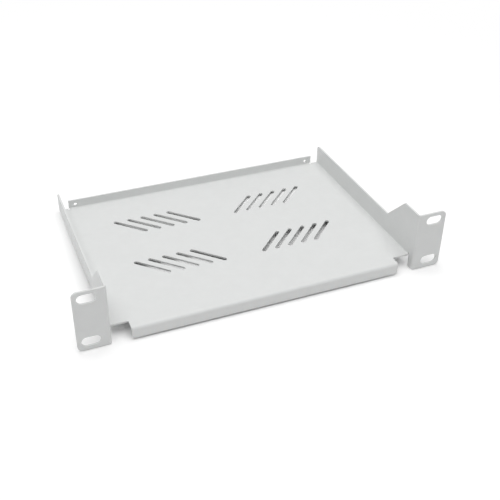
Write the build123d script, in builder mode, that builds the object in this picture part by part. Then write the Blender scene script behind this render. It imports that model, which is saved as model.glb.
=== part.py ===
"""Ventilated 1U shelf for a 10-inch rack, folded from one sheet of steel.

Frame: X across the rack, Y from the front of the rack to the back, Z up.
The origin is the centre of the four ear slots, on the front face of the ears.
Heights are given from the bottom of the ears. All sizes are in millimetres.
"""

import os

from build123d import *

# Sheet and its folds
sheet = 1.2
bend_inside = 1.0

# Panel of a 10-inch rack, one unit high
panel_width = 254.0
panel_height = 43.7

# Ears: the slots stand 236.5 apart across the rack and 31.75 apart up it
ear_width = 20.0
ear_slot_from_side = 8.75
ear_slot_from_bottom = 6.35
ear_slot_from_top = 5.6
ear_slot_length = 12.0
ear_slot_height = 6.5
ear_corner_radius = 3.5

# Tray
floor_height = 9.4
tray_depth = 151.0

# Side walls, raised behind the ears
wall_height = 24.0
wall_rear_setback = 0.8
wall_corner_radius = 2.0
raised_length = 18.4
step_angle = 45.0

# Notch at each front corner, and the tab of the wall that carries the foot of the ear
notch_width = 13.5
tab_length = 5.8
tab_corner_radius = 1.2
slit_width = 0.8
slit_above_bend = 0.4

# Lip folded down along the front
lip_reach = 1.0
lip_height = 8.3
lip_corner_radius = 2.0

# Flange folded up along the rear
flange_end_gap = 7.25
flange_height = 6.6
flange_hole_diameter = 2.5
flange_hole_from_end = 5.05
flange_hole_from_top = 3.6

# Round relief at each end of the rear fold
relief_radius = 0.9

# Ventilation slots in groups, mirrored left to right
vent_length = 28.0
vent_width = 3.0
vent_angle = 45.0
vent_pitch = 10.0
vent_count = 5
vent_rows = 2
vent_row_spacing = 54.0
vent_group_x = 43.5
vent_group_y = 82.8

# Values that follow from the sizes above
bend_outside = bend_inside + sheet
panel_half = panel_width / 2
body_half = panel_half - ear_width
lip_half = body_half - notch_width
flange_half = body_half - flange_end_gap
wall_rear = tray_depth - wall_rear_setback
notch_line = tab_length + slit_width

# Levels from the centre of the ear slots
ear_slot_rise = panel_height - ear_slot_from_bottom - ear_slot_from_top
ear_bottom = -ear_slot_rise / 2 - ear_slot_from_bottom
ear_top = ear_bottom + panel_height
floor_top = ear_bottom + floor_height
floor_bottom = floor_top - sheet
wall_top = ear_bottom + wall_height

# Centre lines of the folds
side_bend_x = body_half - bend_outside
rising_bend_z = floor_top + bend_inside
ear_bend_x = body_half + bend_inside
ear_bend_y = bend_outside
lip_bend_y = bend_outside - lip_reach
lip_bend_z = floor_top - bend_outside
flange_bend_y = tray_depth - bend_outside


def bend_section(plane, centre, start_angle):
    """A quarter ring: the section of the sheet where it goes round a fold."""
    with BuildSketch(plane) as section:
        with BuildLine():
            outer = CenterArc(centre, bend_outside, start_angle, 90)
            inner = CenterArc(centre, bend_inside, start_angle, 90)
            Line(outer @ 0, inner @ 0)
            Line(outer @ 1, inner @ 1)
        make_face()
    return section.sketch


def floor_outline():
    """Right half of the flat floor, from the fold of the lip to the rear edge."""
    with BuildSketch(Plane.XY.offset(floor_bottom)) as outline:
        with BuildLine():
            Polyline(
                (0, lip_bend_y),
                (lip_half, lip_bend_y),
                (lip_half, notch_line),
                (side_bend_x, notch_line),
                (side_bend_x, wall_rear),
                (flange_half, wall_rear),
                (flange_half, flange_bend_y),
                (0, flange_bend_y),
                close=True,
            )
        make_face()
    return outline.sketch


def wall_outline():
    """Side view of the right wall above its fold, with the raised part and the tab."""
    slit_top = rising_bend_z + slit_above_bend
    with BuildSketch(Plane.YZ.offset(body_half - sheet)) as outline:
        with BuildLine():
            front = Line((ear_bend_y, ear_top), (ear_bend_y, ear_bottom))
            tab = Polyline(front @ 1, (tab_length, ear_bottom), (tab_length, slit_top))
            slit = Polyline(tab @ 1, (notch_line, slit_top), (notch_line, rising_bend_z))
            rear = Polyline(slit @ 1, (wall_rear, rising_bend_z), (wall_rear, wall_top))
            top = Line(front @ 0, (raised_length, ear_top))
            step = PolarLine(
                top @ 1, ear_top - wall_top, -step_angle, length_mode=LengthMode.VERTICAL
            )
            Line(step @ 1, rear @ 1)
        make_face()
        fillet(outline.vertices().sort_by_distance((tab_length, ear_bottom))[0], tab_corner_radius)
        fillet(outline.vertices().sort_by_distance((wall_rear, wall_top))[0], wall_corner_radius)
    return outline.sketch


def ear_outline():
    """Front view of the right ear beside its fold, with its two slots."""
    slot_x = panel_half - ear_slot_from_side
    with BuildSketch(Plane.XZ) as outline:
        with Locations((ear_bend_x, ear_bottom)):
            Rectangle(panel_half - ear_bend_x, panel_height, align=(Align.MIN, Align.MIN))
        fillet(outline.vertices().group_by(Axis.X)[-1], ear_corner_radius)
        with Locations((slot_x, -ear_slot_rise / 2), (slot_x, ear_slot_rise / 2)):
            SlotOverall(ear_slot_length, ear_slot_height, mode=Mode.SUBTRACT)
    return outline.sketch


def lip_outline():
    """Front view of the right half of the lip below its fold."""
    lip_bottom = floor_top - lip_height
    with BuildSketch(Plane.XZ.offset(lip_reach)) as outline:
        with Locations((0, lip_bottom)):
            Rectangle(lip_half, lip_bend_z - lip_bottom, align=(Align.MIN, Align.MIN))
        fillet(outline.vertices().sort_by_distance((lip_half, lip_bottom))[0], lip_corner_radius)
    return outline.sketch


def flange_outline():
    """Front view of the right half of the rear flange above its fold."""
    with BuildSketch(Plane.XZ.offset(-tray_depth)) as outline:
        with Locations((0, rising_bend_z)):
            Rectangle(flange_half, flange_height - bend_inside, align=(Align.MIN, Align.MIN))
    return outline.sketch


def vent_outline():
    """The groups of slanted slots in the right half of the floor."""
    with BuildSketch(Plane.XY.offset(floor_bottom)) as slots:
        with Locations((vent_group_x, vent_group_y)):
            with GridLocations(vent_pitch, vent_row_spacing, vent_count, vent_rows):
                SlotOverall(vent_length, vent_width, rotation=vent_angle)
    return slots.sketch


def relief_outline():
    """A circle at the end of the rear fold, facing out through the middle of the bend."""
    fold_end = (flange_half, flange_bend_y, rising_bend_z)
    with BuildSketch(Plane(origin=fold_end, z_dir=(0, 1, -1))) as circle:
        Circle(relief_radius)
    return circle.sketch


with BuildPart() as folded_shelf:
    # Floor with its slots
    extrude(floor_outline(), amount=sheet)
    extrude(vent_outline(), amount=sheet, mode=Mode.SUBTRACT)

    # Side wall, folded up from the floor
    side_bend = bend_section(Plane.XZ.offset(-notch_line), (side_bend_x, rising_bend_z), -90)
    extrude(side_bend, amount=notch_line - wall_rear)
    extrude(wall_outline(), amount=sheet)

    # Ear, folded out from the front of the wall
    ear_bend = bend_section(Plane.XY.offset(ear_bottom), (ear_bend_x, ear_bend_y), 180)
    extrude(ear_bend, amount=panel_height)
    extrude(ear_outline(), amount=-sheet)

    # Lip, folded down from the front of the floor
    lip_bend = bend_section(Plane.YZ, (lip_bend_y, lip_bend_z), 90)
    extrude(lip_bend, amount=lip_half)
    extrude(lip_outline(), amount=-sheet)

    # Flange with its hole, folded up from the rear of the floor
    flange_bend = bend_section(Plane.YZ, (flange_bend_y, rising_bend_z), -90)
    extrude(flange_bend, amount=flange_half)
    extrude(flange_outline(), amount=sheet)
    hole_x = flange_half - flange_hole_from_end
    hole_z = floor_top + flange_height - flange_hole_from_top
    with Locations(Plane.XZ.offset(-flange_bend_y)):
        with Locations((hole_x, hole_z)):
            Hole(flange_hole_diameter / 2, depth=bend_outside)

    # Relief between the end of the rear fold and the floor beside it
    extrude(relief_outline(), amount=2 * bend_outside, mode=Mode.SUBTRACT)

    # The left half mirrors the right half
    mirror(about=Plane.YZ)

folded_shelf.part.label = "folded_shelf"

os.makedirs("parts", exist_ok=True)
export_step(folded_shelf.part, "parts/folded_shelf.step")
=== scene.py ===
"""Looks of a folded steel rack shelf: powder-coated sheet with softened cut edges, on a pale studio floor.

Everything is in metres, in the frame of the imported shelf: X across the rack, Y to the rear, Z up,
with the origin at the centre of the four ear slots.
"""

import math

import bpy
from mathutils import Matrix, Vector


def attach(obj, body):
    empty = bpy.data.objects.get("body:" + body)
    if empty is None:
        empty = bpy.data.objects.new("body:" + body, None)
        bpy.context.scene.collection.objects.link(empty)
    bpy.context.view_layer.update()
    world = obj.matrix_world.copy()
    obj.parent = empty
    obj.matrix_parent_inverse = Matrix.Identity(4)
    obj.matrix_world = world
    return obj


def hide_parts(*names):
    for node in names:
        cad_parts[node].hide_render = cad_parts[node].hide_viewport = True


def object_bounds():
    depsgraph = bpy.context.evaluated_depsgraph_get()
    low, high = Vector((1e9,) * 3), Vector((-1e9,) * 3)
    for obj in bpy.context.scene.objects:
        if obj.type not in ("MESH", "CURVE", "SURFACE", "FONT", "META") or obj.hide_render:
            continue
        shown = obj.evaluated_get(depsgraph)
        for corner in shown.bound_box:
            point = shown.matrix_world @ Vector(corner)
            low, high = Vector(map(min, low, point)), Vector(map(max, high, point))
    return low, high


MM = 0.001
WHITE = (1.0, 1.0, 1.0, 1.0)

# Softened edges of the coated sheet
EDGE_RADIUS = 0.22 * MM
EDGE_SEGMENTS = 2
FOLD_STEP_ANGLE = math.radians(40)
MERGE_DISTANCE = 0.002 * MM
FLAT_ANGLE = math.radians(0.5)
FLAT_FACE_WEIGHT = 50

# Powder coat
COAT_GREY = (0.745, 0.755, 0.75, 1.0)
COAT_GREY_DARK = (0.685, 0.695, 0.69, 1.0)
COAT_ROUGHNESS = 0.46
ROUGHNESS_SWING = 0.05
CLOUD_SIZE = 9.0 * MM
RIPPLE_SIZE = 2.6 * MM
RIPPLE_STRENGTH = 0.25
GRAIN_SIZE = 0.7 * MM
GRAIN_STRENGTH = 0.35
BUMP_HEIGHT = 0.03 * MM

# Floor of the studio: it shows a little lighter than the light it gives back, so that its open part is white
FLOOR_REACH = 3.0
FLOOR_BOUNCE = 0.9
FLOOR_SEEN = 1.06
FADE_START = 0.28
FADE_END = 0.6

# The floor is tilted as the shelf would stand on it: on the foot of its ears and the rear fold
REST_FRONT_Y = 4.8 * MM
REST_REAR_Y = 148.8 * MM
REST_REAR_RISE = 8.2 * MM

# Light
LAMP_DISTANCE = 1.6
SURROUND_LEVEL = 0.428

# Camera
CAMERA_PLACE = (-0.175139, -0.378709, 0.306204)
CAMERA_YAW = math.radians(22.8133)
CAMERA_PITCH = math.radians(-34.4063)
CAMERA_ROLL = math.radians(0.8918)
CAMERA_LENS = 58.48
SENSOR_WIDTH = 36.0
CLIP_START = 0.01
CLIP_END = 20.0


def deselect_all():
    bpy.ops.object.select_all(action="DESELECT")


def make_active(piece):
    deselect_all()
    piece.select_set(True)
    bpy.context.view_layer.objects.active = piece


def new_material(name):
    """A material with nothing but its output node."""
    material = bpy.data.materials.new(name)
    material.use_nodes = True
    nodes = material.node_tree.nodes
    nodes.clear()
    output = nodes.new("ShaderNodeOutputMaterial")
    return material, nodes, material.node_tree.links, output


def noise(nodes, links, place, size, detail, roughness=0.5):
    """Noise on Object coordinates, with spots of about the given size."""
    spots = nodes.new("ShaderNodeTexNoise")
    spots.inputs["Scale"].default_value = 1 / size
    spots.inputs["Detail"].default_value = detail
    spots.inputs["Roughness"].default_value = roughness
    links.new(place.outputs["Object"], spots.inputs["Vector"])
    return spots.outputs["Fac"]


def bump(nodes, links, height, strength, below=None):
    """A bump that follows a noise, laid over the bump below it."""
    relief = nodes.new("ShaderNodeBump")
    relief.inputs["Strength"].default_value = strength
    relief.inputs["Distance"].default_value = BUMP_HEIGHT
    links.new(height, relief.inputs["Height"])
    if below is not None:
        links.new(below, relief.inputs["Normal"])
    return relief.outputs["Normal"]


def powder_coat():
    """Light grey powder coat: a faintly clouded satin skin with a fine grain on a soft ripple."""
    material, nodes, links, output = new_material("light_grey_powder_coat")
    shader = nodes.new("ShaderNodeBsdfPrincipled")
    links.new(shader.outputs["BSDF"], output.inputs["Surface"])

    place = nodes.new("ShaderNodeTexCoord")
    cloud = noise(nodes, links, place, CLOUD_SIZE, detail=5.0, roughness=0.7)
    ripple = noise(nodes, links, place, RIPPLE_SIZE, detail=1.0)
    grain = noise(nodes, links, place, GRAIN_SIZE, detail=3.0, roughness=0.6)

    shade = nodes.new("ShaderNodeMix")
    shade.data_type = "RGBA"
    shade.inputs["A"].default_value = COAT_GREY_DARK
    shade.inputs["B"].default_value = COAT_GREY
    links.new(cloud, shade.inputs["Factor"])
    links.new(shade.outputs["Result"], shader.inputs["Base Color"])

    gloss = nodes.new("ShaderNodeMapRange")
    gloss.inputs["To Min"].default_value = COAT_ROUGHNESS - ROUGHNESS_SWING
    gloss.inputs["To Max"].default_value = COAT_ROUGHNESS + ROUGHNESS_SWING
    links.new(ripple, gloss.inputs["Value"])
    links.new(gloss.outputs["Result"], shader.inputs["Roughness"])

    rippled = bump(nodes, links, ripple, RIPPLE_STRENGTH)
    grained = bump(nodes, links, grain, GRAIN_STRENGTH, below=rippled)
    links.new(grained, shader.inputs["Normal"])
    return material


def coated_shelf(solid, coat):
    """The folded sheet with its cut edges softened by the coating."""
    make_active(solid)
    bpy.ops.object.duplicate()
    shelf = bpy.context.view_layer.objects.active
    shelf.name = "coated_shelf"
    shelf.data.name = "coated_shelf"
    for key in [k for k in shelf.keys() if k.startswith("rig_")]:
        del shelf[key]
    shelf.parent = None
    make_active(shelf)
    bpy.ops.object.mode_set(mode="EDIT")
    bpy.ops.mesh.select_all(action="SELECT")
    bpy.ops.mesh.remove_doubles(threshold=MERGE_DISTANCE)
    bpy.ops.mesh.dissolve_limited(angle_limit=FLAT_ANGLE)
    bpy.ops.object.mode_set(mode="OBJECT")

    bevel = shelf.modifiers.new("softened_edges", "BEVEL")
    bevel.width = EDGE_RADIUS
    bevel.segments = EDGE_SEGMENTS
    bevel.limit_method = "ANGLE"
    bevel.angle_limit = FOLD_STEP_ANGLE
    bevel.use_clamp_overlap = True
    bpy.ops.object.modifier_apply(modifier=bevel.name)
    bpy.ops.object.shade_smooth()
    flat = shelf.modifiers.new("flat_faces_stay_flat", "WEIGHTED_NORMAL")
    flat.mode = "FACE_AREA"
    flat.weight = FLAT_FACE_WEIGHT
    bpy.ops.object.modifier_apply(modifier=flat.name)
    shelf.data.materials.clear()
    shelf.data.materials.append(coat)
    return shelf


def looked_at(nodes, links):
    """One for the rays that show a surface: straight from the camera, in a gloss or through glass."""
    path = nodes.new("ShaderNodeLightPath")
    shown = path.outputs["Is Camera Ray"]
    for kind in ("Is Glossy Ray", "Is Transmission Ray"):
        larger = nodes.new("ShaderNodeMath")
        larger.operation = "MAXIMUM"
        links.new(shown, larger.inputs[0])
        links.new(path.outputs[kind], larger.inputs[1])
        shown = larger.outputs["Value"]
    return shown


def mixed(nodes, links, factor, first, second):
    """The first shader where the factor is nought, and the second where it is one."""
    mix = nodes.new("ShaderNodeMixShader")
    links.new(factor, mix.inputs["Fac"])
    links.new(first, mix.inputs[1])
    links.new(second, mix.inputs[2])
    return mix.outputs["Shader"]


def matt(nodes, level):
    """A matt grey that throws back the given share of the light."""
    shader = nodes.new("ShaderNodeBsdfDiffuse")
    shader.inputs["Color"].default_value = (level, level, level, 1.0)
    return shader.outputs["BSDF"]


def white_glow(nodes, kind, strength):
    """Plain white light from an Emission or a Background node."""
    glow = nodes.new(kind)
    glow.inputs["Color"].default_value = WHITE
    glow.inputs["Strength"].default_value = strength
    return glow.outputs[0]


def studio_floor(low):
    """A pale floor under the ears and the rear fold, which turns plain white far away."""
    bpy.ops.mesh.primitive_plane_add(size=2 * FLOOR_REACH)
    floor = bpy.context.object
    floor.name = "studio_floor"
    material, nodes, links, output = new_material("pale_floor")

    place = nodes.new("ShaderNodeTexCoord")
    away = nodes.new("ShaderNodeVectorMath")
    away.operation = "LENGTH"
    links.new(place.outputs["Object"], away.inputs[0])
    fade = nodes.new("ShaderNodeMapRange")
    fade.interpolation_type = "SMOOTHSTEP"
    fade.inputs["From Min"].default_value = FADE_START
    fade.inputs["From Max"].default_value = FADE_END
    links.new(away.outputs["Value"], fade.inputs["Value"])

    far = white_glow(nodes, "ShaderNodeEmission", 1.0)
    seen = mixed(nodes, links, fade.outputs["Result"], matt(nodes, FLOOR_SEEN), far)
    surface = mixed(nodes, links, looked_at(nodes, links), matt(nodes, FLOOR_BOUNCE), seen)
    links.new(surface, output.inputs["Surface"])
    floor.data.materials.append(material)

    front = Vector((0, REST_FRONT_Y, low.z))
    slope = math.atan2(REST_REAR_RISE, REST_REAR_Y - REST_FRONT_Y)
    floor.matrix_world = Matrix.Translation(front) @ Matrix.Rotation(slope, 4, "X")


def softbox(name, target, azimuth, elevation, size, power, shape="SQUARE"):
    """A broad lamp that looks at the target from a direction given in degrees."""
    around = math.radians(azimuth)
    up = math.radians(elevation)
    away = Vector((math.sin(around) * math.cos(up), -math.cos(around) * math.cos(up), math.sin(up)))
    bpy.ops.object.light_add(type="AREA", location=target + away * LAMP_DISTANCE)
    lamp = bpy.context.object
    lamp.name = name
    lamp.data.shape = shape
    lamp.data.size = size
    lamp.data.energy = power
    lamp.rotation_euler = (-away).to_track_quat("-Z", "Y").to_euler()


def studio_world():
    """An even pale surround, white where it is seen."""
    world = bpy.data.worlds.new("studio")
    bpy.context.scene.world = world
    world.use_nodes = True
    nodes = world.node_tree.nodes
    links = world.node_tree.links
    nodes.clear()
    output = nodes.new("ShaderNodeOutputWorld")
    fill = white_glow(nodes, "ShaderNodeBackground", SURROUND_LEVEL)
    seen = white_glow(nodes, "ShaderNodeBackground", 1.0)
    links.new(mixed(nodes, links, looked_at(nodes, links), fill, seen), output.inputs["Surface"])


def studio_camera():
    """The camera at the photograph's place, turn and lens."""
    bpy.ops.object.camera_add(location=CAMERA_PLACE)
    camera = bpy.context.object
    camera.name = "camera"
    level = Matrix.Rotation(-CAMERA_YAW, 4, "Z") @ Matrix.Rotation(math.pi / 2 + CAMERA_PITCH, 4, "X")
    turn = level @ Matrix.Rotation(CAMERA_ROLL, 4, "Z")
    camera.rotation_euler = turn.to_euler()
    camera.data.lens = CAMERA_LENS
    camera.data.sensor_width = SENSOR_WIDTH
    camera.data.clip_start = CLIP_START
    camera.data.clip_end = CLIP_END
    bpy.context.scene.camera = camera


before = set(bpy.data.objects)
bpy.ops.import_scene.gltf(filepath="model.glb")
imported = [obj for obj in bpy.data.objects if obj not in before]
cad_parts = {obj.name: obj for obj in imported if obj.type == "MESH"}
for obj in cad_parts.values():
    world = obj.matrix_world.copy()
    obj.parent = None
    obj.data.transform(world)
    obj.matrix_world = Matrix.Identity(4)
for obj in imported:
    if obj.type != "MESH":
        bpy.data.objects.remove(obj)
cad_low, cad_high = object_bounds()
deselect_all()

studio_camera()
shelf = coated_shelf(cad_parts["folded_shelf"], powder_coat())
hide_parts("folded_shelf")
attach(shelf, "root")

middle = (cad_low + cad_high) / 2
studio_floor(cad_low)
softbox("overhead_softbox", middle, azimuth=-25, elevation=86, size=1.9, power=20.0, shape="DISK")
softbox("left_softbox", middle, azimuth=-90, elevation=25, size=1.2, power=0.75)
studio_world()

bpy.context.scene.view_settings.view_transform = "Standard"
